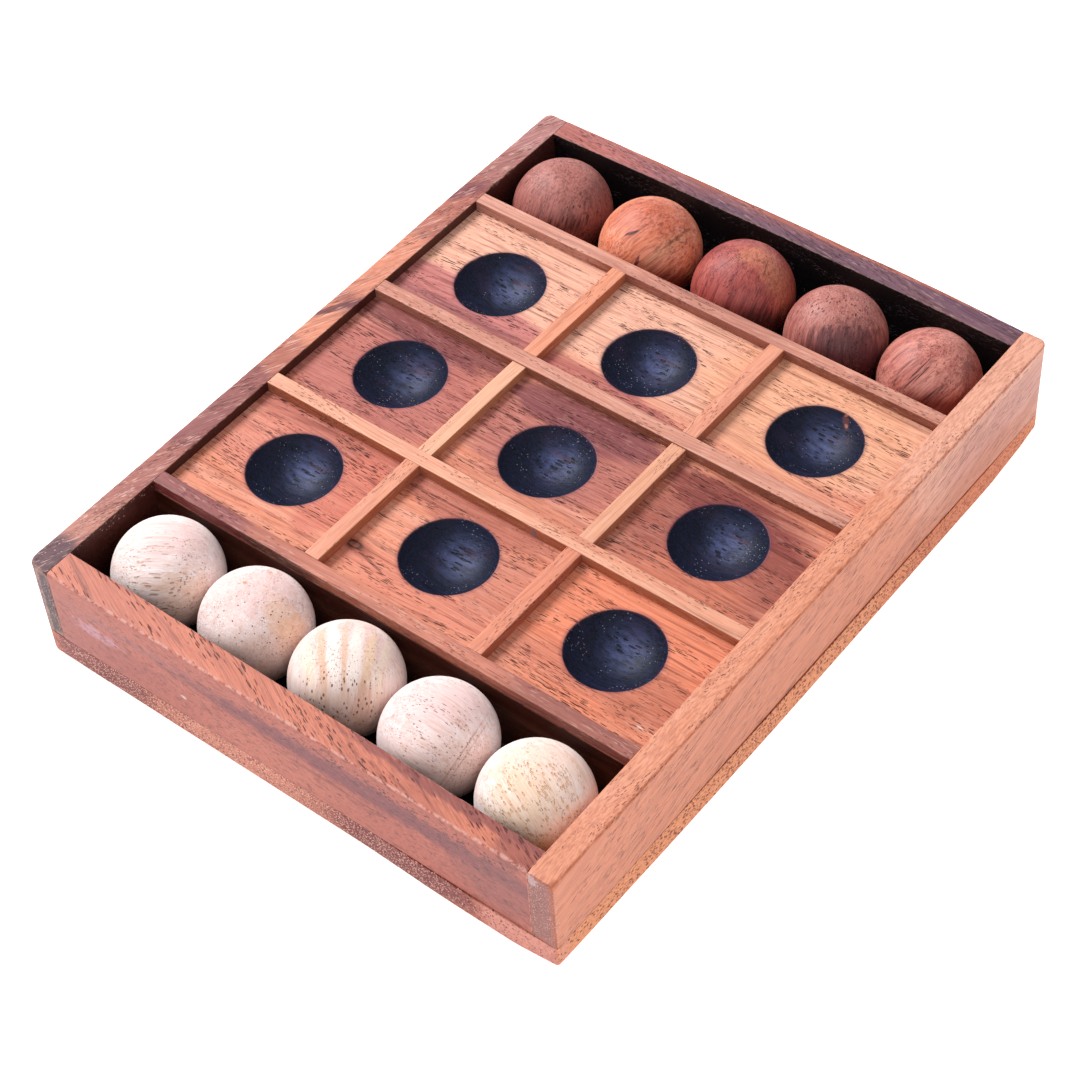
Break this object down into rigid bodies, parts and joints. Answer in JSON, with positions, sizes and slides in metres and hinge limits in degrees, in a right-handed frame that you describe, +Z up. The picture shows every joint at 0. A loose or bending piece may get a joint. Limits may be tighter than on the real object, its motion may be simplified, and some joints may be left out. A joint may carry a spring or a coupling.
{
  "type": "noughts-and-crosses ball tray",
  "caption": "Wooden noughts-and-crosses tray with a raised panel of stained dimples, a strip lattice, and a trough of loose balls at each end.",
  "frame": {"origin": "middle of the underside, on the surface that the tray stands on", "axes": "+X along the short sides, +Y along the long sides from the light balls' trough to the dark balls' trough, +Z up"},
  "size_m": [0.125, 0.16, 0.0295],
  "materials": {
    "base_wood": "oiled",
    "side_rail_wood": "oiled",
    "end_rail_wood": "oiled",
    "panel_wood": "oiled, with blue-black stained dimples",
    "strip_wood": "oiled",
    "light_ball_wood": "bare, sanded",
    "dark_ball_wood": "satin"
  },
  "bodies": {
    "tray": {"base_board": "base_wood", "left_rail": "side_rail_wood", "right_rail": "side_rail_wood", "front_rail": "end_rail_wood", "back_rail": "end_rail_wood", "playing_panel": "panel_wood", "near_trough_strip": "strip_wood", "near_cross_strip": "strip_wood", "far_cross_strip": "strip_wood", "far_trough_strip": "strip_wood", "near_left_divider": "strip_wood", "near_right_divider": "strip_wood", "middle_left_divider": "strip_wood", "middle_right_divider": "strip_wood", "far_left_divider": "strip_wood", "far_right_divider": "strip_wood"},
    "light_ball_1": {"light_ball_1": "light_ball_wood"},
    "light_ball_2": {"light_ball_2": "light_ball_wood"},
    "light_ball_3": {"light_ball_3": "light_ball_wood"},
    "light_ball_4": {"light_ball_4": "light_ball_wood"},
    "light_ball_5": {"light_ball_5": "light_ball_wood"},
    "dark_ball_1": {"dark_ball_1": "dark_ball_wood"},
    "dark_ball_2": {"dark_ball_2": "dark_ball_wood"},
    "dark_ball_3": {"dark_ball_3": "dark_ball_wood"},
    "dark_ball_4": {"dark_ball_4": "dark_ball_wood"},
    "dark_ball_5": {"dark_ball_5": "dark_ball_wood"}
  },
  "joints": [
    {"name": "light_ball_1_lift", "type": "slide", "parent": "tray", "child": "light_ball_1", "axis": [0, 0, 1], "range_m": [0, 0.03]},
    {"name": "light_ball_2_lift", "type": "slide", "parent": "tray", "child": "light_ball_2", "axis": [0, 0, 1], "range_m": [0, 0.03]},
    {"name": "light_ball_3_lift", "type": "slide", "parent": "tray", "child": "light_ball_3", "axis": [0, 0, 1], "range_m": [0, 0.03]},
    {"name": "light_ball_4_lift", "type": "slide", "parent": "tray", "child": "light_ball_4", "axis": [0, 0, 1], "range_m": [0, 0.03]},
    {"name": "light_ball_5_lift", "type": "slide", "parent": "tray", "child": "light_ball_5", "axis": [0, 0, 1], "range_m": [0, 0.03]},
    {"name": "dark_ball_1_lift", "type": "slide", "parent": "tray", "child": "dark_ball_1", "axis": [0, 0, 1], "range_m": [0, 0.03]},
    {"name": "dark_ball_2_lift", "type": "slide", "parent": "tray", "child": "dark_ball_2", "axis": [0, 0, 1], "range_m": [0, 0.03]},
    {"name": "dark_ball_3_lift", "type": "slide", "parent": "tray", "child": "dark_ball_3", "axis": [0, 0, 1], "range_m": [0, 0.03]},
    {"name": "dark_ball_4_lift", "type": "slide", "parent": "tray", "child": "dark_ball_4", "axis": [0, 0, 1], "range_m": [0, 0.03]},
    {"name": "dark_ball_5_lift", "type": "slide", "parent": "tray", "child": "dark_ball_5", "axis": [0, 0, 1], "range_m": [0, 0.03]}
  ]
}
